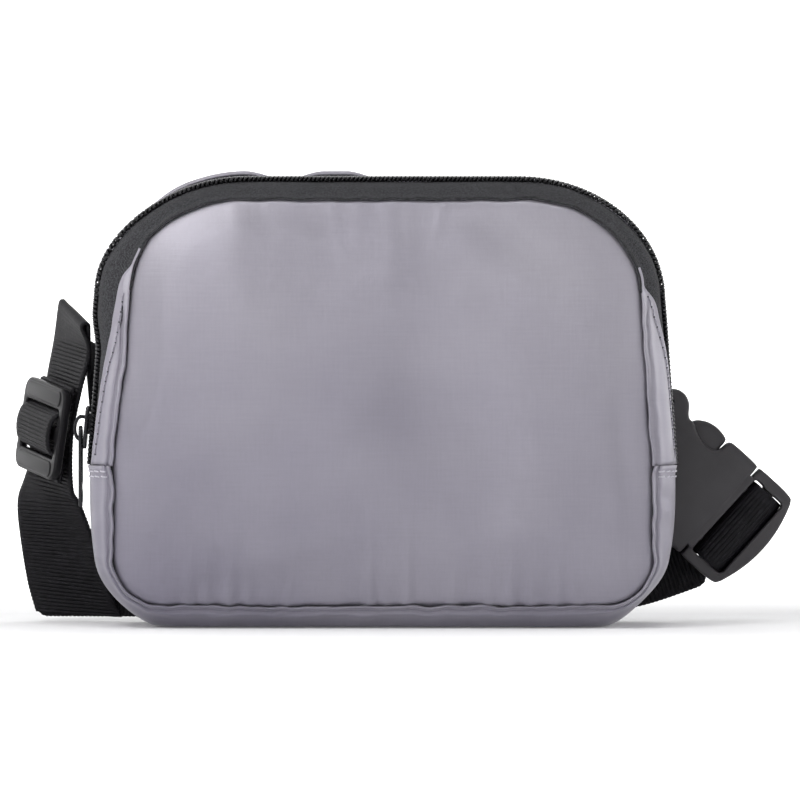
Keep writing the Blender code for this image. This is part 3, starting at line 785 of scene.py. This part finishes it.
def add_stitching(materials):
    """Topstitching along the folded edges and across the two cross seams."""
    def beside_front(point):
        edge = tape_front(point)
        return edge - min(0.065, 0.4 * (1.0 + edge))

    def beside_rear(point):
        return tape_rear(point) + 0.07

    rows = (
        ("front_strip", beside_front, 0.113, 0.42 * MM),
        ("rear_strip", beside_rear, 0.2, 0.75 * MM),
    )
    for name, beside, high, lift in rows:
        sew(name + "_stitching", stitch_paths(beside, high, lift), STITCH_RADIUS, materials["thread"])
        sew(name + "_needle_hole_shadows", needle_hole_shadows(beside, high, lift), HOLE_RADIUS, materials["hole"])
    paths = []
    for side in (-1.0, 1.0):
        for drop in CROSS_STITCH_ROWS:
            paths += cross_stitches(side, CROSS_Z - drop)
    sew("cross_seam_stitching", paths, CROSS_STITCH_RADIUS, materials["pale_thread"])


def sew(name, paths, radius, material):
    piece = tube(name, paths, radius, material)
    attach(piece, "bag")


def cross_stitches(side, height):
    """One row of stitches from the front seam to the back seam at a side of the bag."""
    point = np.array([side * HALF_LOW, 0.0, height])
    normal = np.array([side, 0.0, 0.0])
    paths = []
    for start in np.arange(-0.94, 0.9, CROSS_STITCH_PITCH):
        path = []
        for share in np.linspace(0.0, 1.0, len(STITCH_SHARES)):
            across = start + CROSS_STITCH_LENGTH * share
            place = gusset_place(point, normal, across)
            rise = 0.75 * MM * hill(CROSS_Z - height, CROSS_FOLD) + 0.25 * MM
            rise += gusset_crease(place, across, True) - 0.5 * MM * abs(2.0 * share - 1.0) ** 4
            path.append(place + normal * rise + np.array([0.0, 0.0, 0.25 * MM * (share - 0.5)]))
        paths.append(path)
    return paths


# ------ frames of the fittings

def frame_of(first, second, place):
    """A fitting's own frame: its X and Y in the world, and its middle in mm."""
    axes = Matrix((first, second, first.cross(second))).transposed().to_4x4()
    return Matrix.Translation(Vector(place) * MM) @ axes


def glide_frame():
    across = Vector((0.41, -0.9, -0.146)).normalized()
    along = Vector((0.15, -0.085, 0.98))
    along = (along - across * along.dot(across)).normalized()
    return frame_of(across, along, (-118.4, 22, 67.5))


def buckle_frame():
    tilt = math.radians(-42.4)
    along = Vector((math.cos(tilt), 0, math.sin(tilt)))
    return frame_of(along, Vector((-math.sin(tilt), 0, math.cos(tilt))), (117.3, 30.6, 39))


GLIDE = glide_frame()
BUCKLE = buckle_frame()
SLIDER = frame_of(Vector((-0.996404, -0.007107, 0.084429)), Vector((0, -0.996476, -0.083877)),
                  (-99.24, -2.812, 67.5))


# ------ webbing

RIB = 1.4 * MM
RIB_HEIGHT = 0.22 * MM
ROWS_A_RIB = 5
BELT_COLUMNS = 20
BELT_WIDTH = 0.03
BELT_THICKNESS = 1.25 * MM
PATH_STEPS = 14
SEWN_FOLD = (52.0 * MM, 66.5 * MM)


def smooth_path(points):
    """Catmull-Rom points through the given points."""
    ends = [points[0] * 2.0 - points[1]] + points + [points[-1] * 2.0 - points[-2]]
    path = []
    for index in range(1, len(ends) - 2):
        a, b, c, d = ends[index - 1:index + 3]
        for step in range(PATH_STEPS):
            t = step / PATH_STEPS
            path.append(0.5 * (2.0 * b + (c - a) * t + (2.0 * a - 5.0 * b + 4.0 * c - d) * t * t
                               + (3.0 * b - a - 3.0 * c + d) * t ** 3))
    return path + [points[-1]]


def across_belt(frame, route, axis, half=15.0):
    """Belt edges in the world, from (along, out of face) pairs in a fitting's own frame."""
    stations = []
    for along, out in route:
        if axis == "x":
            pair = [(-half, along, out), (half, along, out)]
        else:
            pair = [(along, -half, out), (along, half, out)]
        stations.append([frame @ (Vector(p) * MM) / MM for p in pair])
    return stations


def webbing(name, stations, material, body, nodes, hem=None, round_ends=0.0):
    """Belt webbing through its edge stations, in mm, with its weft ribs in the mesh.

    A hem is a smooth sewn fold without ribs, between two places in metres from the start.
    """
    sides = [smooth_path([Vector(station[k]) * MM for station in stations]) for k in (0, 1)]
    pairs = np.hstack([np.array(side) for side in sides])
    middle = 0.5 * (pairs[:, :3] + pairs[:, 3:])
    lengths = running_length(middle)
    at = np.linspace(0.0, lengths[-1], int(lengths[-1] / RIB * ROWS_A_RIB) + 1)
    edges = np.stack([np.interp(at, lengths, pairs[:, k]) for k in range(6)], axis=1)
    left, right = edges[:, :3], edges[:, 3:]
    run = unit_rows(np.gradient(0.5 * (left + right), axis=0))
    width = right - left
    normal = unit_rows(np.cross(width, run))
    grid = np.zeros((len(at), BELT_COLUMNS + 1, 3))
    for row, place in enumerate(at):
        wave = abs(math.sin(math.pi * place / RIB))
        calm = 1.0
        if hem:
            calm -= smoothstep((place - hem[0]) / MM + 0.5) * smoothstep((hem[1] - place) / MM + 0.5)
        height = RIB_HEIGHT * (2.0 * wave - 1.0) * (0.25 + 0.75 * calm)
        end_near = min(place, at[-1] - place)
        tuck = 0.0
        if end_near < round_ends:
            tuck = 1.0 - math.sqrt(max(0.0, 1.0 - (1.0 - end_near / round_ends) ** 2))
        for column in range(BELT_COLUMNS + 1):
            share = column / BELT_COLUMNS
            edge = abs(2.0 * share - 1.0)
            scallop = 0.1 * MM * (2.0 * wave - 1.0) * calm * smoothstep((edge - 0.9) * 12.0)
            u = 0.5 + (share - 0.5) * (1.0 - tuck * 0.22)
            spread = width[row] / BELT_WIDTH * (scallop if share > 0.5 else -scallop)
            point = left[row] + width[row] * u + spread
            swell = height * (1.0 - smoothstep((edge - 0.88) * 9.0) * 0.8)
            swell += 0.5 * MM * soft_noise(*point, 0.022)
            grid[row, column] = point + normal[row] * swell
    piece = sheet_object(name, grid[:, ::-1], BELT_THICKNESS, material, offset=0.0)
    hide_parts(*nodes)
    if isinstance(body, tuple):
        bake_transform(piece)
    else:
        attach(piece, body)


def left_run():
    """The belt from its anchor, through the fold above the tri-glide, down to the floor."""
    anchor = [((-72, 28, 99), (-72, 28, 69)), ((-90, 28.5, 99), (-90.5, 27.5, 69)),
              ((-100.5, 34, 97), (-100.2, 18, 70)), ((-107.5, 38, 103), (-101.6, 12, 86))]
    route = [(41.5, -7.3), (43.6, -6.9), (43.9, -5.9), (42.2, -5.1), (30, -5.2), (16, -5),
             (0, -5.2), (-17.5, -5.4)]
    fold = across_belt(GLIDE, route, "x")
    for index, (shift, drop) in enumerate([(-2.4, 4.5)] * 4 + [(1.8, 0), (0.8, 0)]):
        left, right = fold[index]
        fold[index] = (left, (right[0] + shift, right[1], right[2] - drop))
    fold[-1] = ((-125.3, 38.4, 51), (-107.9, 13.8, 47))
    lower = [((-127.8, 36, 42), (-105.4, 16.6, 41)), ((-127.2, 37.5, 29), (-100.8, 25, 27.5)),
             ((-124.8, 37, 14), (-95.8, 31, 11)), ((-121.8, 35.8, 3.4), (-91.5, 32, 1.6))]
    return anchor + fold + lower


def back_run():
    """The belt behind the bag: it doubles back twice, then goes out to the buckle bar."""
    low, high = 1.6, 31.6
    route = [(-121.5, 38.4), (-95, 35.8), (-70, 31.6), (-45, 29.4), (0, 29.2), (56, 29.2),
             (61, 30.4), (56, 31.6), (0, 31.6), (-64, 31.8), (-69, 33.1), (-64, 34.4),
             (0, 34.4), (50, 35)]
    stations = [((x, y, high), (x, y, low)) for x, y in route]
    return stations + [((70, 38.6, 32.4), (72, 38.6, 2.4)), ((86, 40, 35), (92, 40, 5.5)),
                       ((103, 40, 40.8), (114.4, 40, 13))]


def glide_wrap():
    rising = [(16.5, -3), (10.6, -3.2), (7.9, -2), (7, 0.4), (5, 2.9)]
    wrap = rising + [(0, 3.9)] + [(-along, out) for along, out in rising[::-1]]
    return across_belt(GLIDE, wrap, "x", 15.6)


def buckle_wrap():
    loop = [(1.6, -6.4), (2.9, -4.2), (3.3, 0), (4.9, 3.4), (8.6, 4.6), (12.2, 3.4), (14.3, 0),
            (14.6, -4.6), (12, -7.4), (2, -8.2)]
    lowered = BUCKLE @ Matrix.Translation((0, -0.25 * MM, 0))
    return across_belt(lowered, loop, "y", 16)


def buckle_tab():
    tab = [(-62, 1.3), (-56, 0), (-48, -3.4), (-42, -4), (-37.8, -3.6), (-36.9, 0),
           (-37.8, 3.4), (-42, 3.9), (-48, 3.6), (-56, 3.4), (-62, 3.5)]
    raised = BUCKLE @ Matrix.Translation((0, 3.3 * MM, 0))
    return across_belt(raised, tab, "y")


def add_belt(belt):
    webbing("belt_left", left_run(), belt, "bag", ["belt_left_run", "belt_anchor_run"], hem=SEWN_FOLD)
    webbing("belt_over_tri_glide", glide_wrap(), belt, "glide", ["belt_glide_wrap"])
    pulled = ("bag", "male", (0.052, 0.036, 0.017), (0.108, 0.04, 0.026))
    webbing("belt_behind_bag", back_run(), belt, pulled, ["belt_back_run"], round_ends=4.0 * MM)
    webbing("belt_round_buckle_bar", buckle_wrap(), belt, "male", ["belt_buckle_wrap"])
    webbing("buckle_tab", buckle_tab(), belt, "bag", ["female_tab"])


# ------ fittings

CORNER_POINTS = 9
WELD = 0.002 * MM
SHARP = math.radians(32.0)

# Turns a moulding so that its outline lies in the zip slider's or the pull's own plane
UPRIGHT = Matrix(((0, 0, 1, 0), (1, 0, 0, 0), (0, 1, 0, 0), (0, 0, 0, 1)))


def rounded(points, passes, keep):
    """An outline with its corners cut again and again, which leaves long edges straight."""
    for _ in range(passes):
        count = len(points)
        cut = []
        for index, (x, y) in enumerate(points):
            nx, ny = points[(index + 1) % count]
            cut.append((x + (nx - x) * keep, y + (ny - y) * keep))
            cut.append((nx - (nx - x) * keep, ny - (ny - y) * keep))
        points = cut
    return points


def rounded_rectangle(half_x, half_y, radius, centre=(0.0, 0.0)):
    points = []
    for cx, cy, start in ((1, 1, 0), (-1, 1, 90), (-1, -1, 180), (1, -1, 270)):
        for angle in np.radians(np.linspace(start, start + 90.0, CORNER_POINTS)):
            points.append((centre[0] + cx * (half_x - radius) + radius * math.cos(angle),
                           centre[1] + cy * (half_y - radius) + radius * math.sin(angle)))
    return points


def evaluated_mesh(obj):
    bpy.context.view_layer.update()
    return bpy.data.meshes.new_from_object(obj.evaluated_get(bpy.context.evaluated_depsgraph_get()))


def solid(name, outer, holes, thickness, bevel, material, frame):
    """A flat moulding with rounded edges from its outline in mm, across local Z."""
    curve = bpy.data.curves.new(name + "_outline", "CURVE")
    curve.dimensions = "2D"
    curve.fill_mode = "BOTH"
    curve.extrude = 0.5 * thickness * MM - bevel * MM
    curve.bevel_depth = bevel * MM
    curve.bevel_resolution = 3
    curve.offset = -bevel * MM
    for points in [outer] + [hole[::-1] for hole in holes]:
        spline = curve.splines.new("POLY")
        spline.points.add(len(points) - 1)
        for target, (x, y) in zip(spline.points, points):
            target.co = (x * MM, y * MM, 0.0, 1.0)
        spline.use_cyclic_u = True
    maker = new_object(name + "_maker", curve)
    mesh = evaluated_mesh(maker)
    bpy.data.objects.remove(maker)
    welded = bmesh.new()
    welded.from_mesh(mesh)
    bmesh.ops.remove_doubles(welded, verts=welded.verts, dist=WELD)
    bmesh.ops.recalc_face_normals(welded, faces=welded.faces)
    welded.to_mesh(mesh)
    welded.free()
    mesh.transform(frame)
    mesh.materials.clear()
    mesh.materials.append(material)
    return new_object(name, mesh)


def block(low, high, bevel, material, frame):
    """A box with rounded edges between two local corners in mm."""
    bm = bmesh.new()
    bmesh.ops.create_cube(bm, size=1.0)
    size = [high[k] - low[k] for k in range(3)]
    for vertex in bm.verts:
        vertex.co = Vector([(low[k] + size[k] * (vertex.co[k] + 0.5)) * MM for k in range(3)])
    if bevel:
        bmesh.ops.bevel(bm, geom=bm.edges[:], offset=bevel * MM, segments=3, profile=0.5, affect="EDGES")
    mesh = bpy.data.meshes.new("block")
    bm.to_mesh(mesh)
    bm.free()
    mesh.transform(frame)
    mesh.materials.append(material)
    return new_object("block", mesh)


def both_faces(low, high, bevel, acetal):
    """The same block on the front and on the back of the buckle."""
    return [block(low, high, bevel, acetal, BUCKLE),
            block((*low[:2], -high[2]), (*high[:2], -low[2]), bevel, acetal, BUCKLE)]


def combine(obj, others, operation):
    """Joins or cuts solids for good, then removes the tools."""
    for other in others:
        step = obj.modifiers.new("Step", "BOOLEAN")
        step.operation = operation
        step.solver = "EXACT"
        step.object = other
    mesh = evaluated_mesh(obj)
    obj.modifiers.clear()
    obj.data = mesh
    for other in others:
        bpy.data.objects.remove(other)


def finish_fitting(obj, body, node):
    """Smooth shading that keeps sharp edges, then the piece's place in the frame."""
    obj.data.shade_smooth()
    obj.data.set_sharp_from_angle(angle=SHARP)
    enter(obj, node, body)


def mirrored(points):
    return points + [(x, -y) for x, y in reversed(points) if abs(y) > 0.01]


def add_tri_glide(acetal):
    outer = rounded_rectangle(19.5, 16, 5)
    holes = [rounded_rectangle(15.9, 3, 1.2, (0, sign * 5.5)) for sign in (1, -1)]
    glide = solid("tri_glide_moulding", outer, holes, 3, 0.85, acetal, GLIDE)
    bars = []
    for sign in (1, -1):
        lift = Matrix.Translation((0, sign * 12.3 * MM, 1.1 * MM))
        bars.append(solid("bar", rounded_rectangle(16.5, 2.9, 2.4), [], 1.6, 0.75, acetal, GLIDE @ lift))
    combine(glide, bars, "UNION")
    finish_fitting(glide, "glide", "tri_glide")


def add_female(acetal):
    collar = [(0, 19.6), (-0.9, 20.5), (-12.4, 20.5), (-13.6, 19.6)]
    window = [(-14, 15.4), (-16.2, 13.8), (-20, 13.4), (-24, 14.6), (-27.2, 16.6)]
    shoulder = [(-29, 16.4), (-30.6, 17.6), (-32.6, 20.4), (-35.6, 21.9), (-38.8, 21.6), (-41.6, 19.6)]
    outline = rounded(mirrored(collar + window + shoulder + [(-43.4, 16)]), 3, 0.22)
    female = solid("buckle_socket", outline, [], 11, 1.3, acetal, BUCKLE)
    cuts = [
        block((-29.4, -18.7, -3.6), (1.5, 18.7, 3.6), 0.5, acetal, BUCKLE),
        block((-39.6, -15.9, -8), (-36.8, 17.6, 8), 0.8, acetal, BUCKLE),
        *both_faces((-44.5, -15.9, 2.4), (-39, 17.6, 8), 0, acetal),
    ]
    combine(female, cuts, "DIFFERENCE")
    combine(female, both_faces((-4, -16.2, 3.8), (2, 16.2, 5.3), 0.35, acetal), "UNION")
    finish_fitting(female, "bag", "buckle_female")


def add_male(acetal):
    end = [(20.6 - 0.0107 * y * y, y) for y in (18.6, 16, 12, 8, 4, 0)]  # a shallow arc
    outline = rounded(mirrored([(0.4, 19.8), (1.2, 20.5), (15.4, 20.4)] + end), 2, 0.25)
    slots = [rounded_rectangle(2.15, 16.6, 1.2, (4.35, 0)),
             rounded_rectangle(2.7, 16.3, 1.6, (12.8, 0))]
    male = solid("buckle_frame", outline, slots, 7.6, 0.8, acetal, BUCKLE)
    combine(male, [block((-27, -2.4, -2.4), (1.6, 2.4, 2.4), 0.6, acetal, BUCKLE)], "UNION")
    relief = [
        *both_faces((6.4, -16.4, 2), (10.2, 16.4, 6), 0.3, acetal),
        block((2, -16.4, 2.9), (15.3, 16.4, 6), 0.9, acetal, BUCKLE),
        *both_faces((-1, -16.6, 3.5), (2.6, 16.6, 6), 0, acetal),
    ]
    combine(male, relief, "DIFFERENCE")
    finish_fitting(male, "male", "buckle_male")


def add_prongs(acetal):
    """Two prongs with a side button each. Their roots run into the frame."""
    root = [(2.5, 13.2), (2.5, 9.4), (-8, 9), (-16, 10.2), (-24, 12.4)]
    button = [(-27.2, 14.8), (-27.8, 16.6), (-26.6, 18.4), (-23.6, 20.2), (-20.2, 20.9), (-16.8, 20.6)]
    notch = [(-14.4, 19.8), (-14.4, 14.6), (-8, 12.6)]
    outline = rounded(root + button + notch, 3, 0.2)
    for name, side in (("upper", 1), ("lower", -1)):
        points = [(x, side * y) for x, y in outline][::side]
        prong = solid("buckle_side_button_" + name, points, [], 6.4, 1.2, acetal, BUCKLE)
        finish_fitting(prong, "prong_" + name, "buckle_prong_" + name)


def add_slider(metal):
    """Tapered zip slider with rounded wings and an arched bridge."""
    wings = [(-3, -7), (3, -7), (4.2, -5.2), (4.2, 3.4), (3.4, 7.5), (1.1, 7.5),
             (0.7, 5.2), (-0.7, 5.2), (-1.1, 7.5), (-3.4, 7.5), (-4.2, 3.4), (-4.2, -5.2)]
    front = SLIDER @ UPRIGHT @ Matrix.Translation((0, 0, 2.65 * MM))
    slider = solid("zip_slider_body", rounded(wings, 2, 0.22), [], 1.25, 0.35, metal, front)
    outer, inner = [(2.9, -4.5)], []
    for step in range(15):
        angle = math.radians(-90.0 + 180.0 * step / 14)
        outer.append((4.8 + 2.2 * math.cos(angle), 4.5 * math.sin(angle)))
        inner.append((4.4 + 1.6 * math.cos(angle), 3.3 * math.sin(angle)))
    outline = outer + [(2.9, 4.5), (2.9, 3.3)] + inner[::-1] + [(2.9, -3.3)]
    sideways = SLIDER @ Matrix.Rotation(math.radians(90), 4, "X")
    others = [
        solid("bridge", outline, [], 2.4, 0.4, metal, sideways),
        block((-3.2, -0.35, -2), (3, 0.35, 5.2), 0.1, metal, SLIDER),
        block((-3.4, -3.6, -6), (-2.4, 3.6, 6.5), 0.3, metal, SLIDER),
    ]
    combine(slider, others, "UNION")
    finish_fitting(slider, "slider", "zip_slider")


PULL_HINGE = (-0.103773, -0.002845, 0.067884)
PULL_DROP = 13.25 * MM


def add_pull(metal):
    """Long thin pull with a wide window and a small hole at its tip, hanging from its hinge."""
    middle = Matrix.Translation((PULL_HINGE[0], PULL_HINGE[1], PULL_HINGE[2] - PULL_DROP))
    outer = rounded_rectangle(3.5, 14, 2.8)
    holes = [rounded_rectangle(2, 9, 1.6, (0, 3.3)), rounded_rectangle(1.9, 2, 1.4, (0, -10.2))]
    pull = solid("zip_pull_loop", outer, holes, 1.3, 0.45, metal, middle @ UPRIGHT)
    finish_fitting(pull, "pull", "zip_pull")


def add_hardware(materials):
    add_tri_glide(materials["gloss"])
    add_female(materials["acetal"])
    add_male(materials["acetal"])
    add_prongs(materials["acetal"])
    add_slider(materials["metal"])
    add_pull(materials["metal"])


# ------ view and light

CAMERA_PLACE = (0.00585, -1.8, 0.0774)
SENSOR = 36.0
LENS = 235.5


def add_camera():
    camera = new_object("Camera", bpy.data.cameras.new("Camera"))
    camera.location = CAMERA_PLACE
    camera.rotation_euler = (math.radians(90), 0, 0)
    camera.data.sensor_width = SENSOR
    camera.data.lens = LENS
    bpy.context.scene.camera = camera


def add_light(name, place, target, size, power, spread=180):
    light = new_object(name, bpy.data.lights.new(name, "AREA"))
    light.data.shape = "RECTANGLE"
    light.data.size, light.data.size_y = size
    light.data.energy = power
    light.data.spread = math.radians(spread)
    light.location = place
    direction = Vector(target) - Vector(place)
    light.rotation_euler = direction.to_track_quat("-Z", "Y").to_euler()


MIDDLE = (0, 0, 0.08)
WORLD_STRENGTH = 0.04

# Name, place, target, size and watts of each soft box; the floor's beam is narrow
LIGHTS = (
    ("Key", (-0.36, -0.46, 0.6), (-0.01, 0, 0.09), (0.26, 0.26), 1.95),
    ("Satin", (-0.55, -1.25, 0.42), MIDDLE, (0.45, 0.45), 1.35),
    ("Fill", (0.9, -1.3, 0.5), MIDDLE, (0.9, 0.9), 0.15),
    ("Floor", (0, -0.55, 0.9), (0, -0.5501, 0), (1.6, 0.8), 4, 60),
    ("Left rim", (-1.1, 0.15, 0.25), MIDDLE, (0.4, 0.8), 0.7),
    ("Right rim", (1.1, 0.25, 0.35), MIDDLE, (0.4, 0.8), 1.4),
    ("Top", (0, 0.25, 1.1), MIDDLE, (1, 0.5), 2),
)


def add_lights():
    for light in LIGHTS:
        add_light(*light)
    world = bpy.data.worlds.new("Studio")
    world.use_nodes = True
    back = world.node_tree.nodes["Background"]
    back.inputs[0].default_value = (1, 1, 1, 1)
    back.inputs[1].default_value = WORLD_STRENGTH
    bpy.context.scene.world = world
    bpy.context.scene.view_settings.view_transform = "Standard"


def pale_glowing_paint():
    """White paint that glows towards the back, so that the sweep fades to plain white."""
    n = Nodes("glowing_sweep_paint", (0.86, 0.86, 0.87), 0.9)
    colour = n.ramp(n.noise(3), (0.86, 0.86, 0.865), (0.88, 0.88, 0.885))
    behind = n.math("DIVIDE", n.math("SUBTRACT", n.axes()[1], 0.06), 0.5)
    return n.paint(Base_Color=colour, Emission_Color=(1, 1, 1, 1),
                   # The emission is painted light: the sweep glows faintly near the bag and strongly
                   # towards the back.
                   Emission_Strength=n.math("MINIMUM", n.math("MAXIMUM", behind, 0.08), 0.95))


FLOOR_RADIUS = 2.3
WALL_CURVE = 0.6
WALL_TOP = 2.6
FLOOR_DROP = 0.3 * MM


def add_floor():
    """A pale round floor that curves up into a wall well outside every camera."""
    rise = np.linspace(0, math.pi / 2, 13)
    profile = [(0.05, 0), (0.4, 0), (FLOOR_RADIUS, 0)]
    profile += [(FLOOR_RADIUS + WALL_CURVE * math.sin(a), WALL_CURVE - WALL_CURVE * math.cos(a))
                for a in rise[1:]]
    profile.append((FLOOR_RADIUS + WALL_CURVE, WALL_TOP))
    turns = np.linspace(0, math.tau, 72, endpoint=False)
    grid = [[(r * math.cos(t), r * math.sin(t), z - FLOOR_DROP) for t in turns] for r, z in profile]
    points = np.array(grid).reshape(-1, 3)
    faces = grid_faces(len(profile), len(turns), True) + [tuple(range(len(turns)))[::-1]]
    mesh_object("floor", points, [face[::-1] for face in faces], pale_glowing_paint())


def main():
    materials = {
        "cloth": nylon("lilac_nylon_cloth"),
        "lining": lining_cloth("charcoal_lining"),
        "tape": tape_cloth("zip_tape_cloth"),
        "coil": moulding("zip_coil_nylon", (0.022, 0.022, 0.024), 0.34, 0.2),
        "thread": thread_material("lilac_thread", (0.36, 0.345, 0.41)),
        "pale_thread": thread_material("pale_thread", (0.62, 0.6, 0.68)),
        "hole": thread_material("needle_hole_shadow", (0.035, 0.033, 0.04)),
        "metal": black_metal("black_plated_metal"),
        "belt": belt_cloth("black_webbing"),
        "acetal": moulding("black_acetal_grain"),
        "gloss": moulding("black_acetal_polished", (0.008, 0.0075, 0.0088), 0.38, 0.25, 0.16),
    }
    add_bag(materials)
    add_zip(materials)
    add_stitching(materials)
    add_belt(materials["belt"])
    add_hardware(materials)
    add_camera()
    add_lights()
    add_floor()


main()
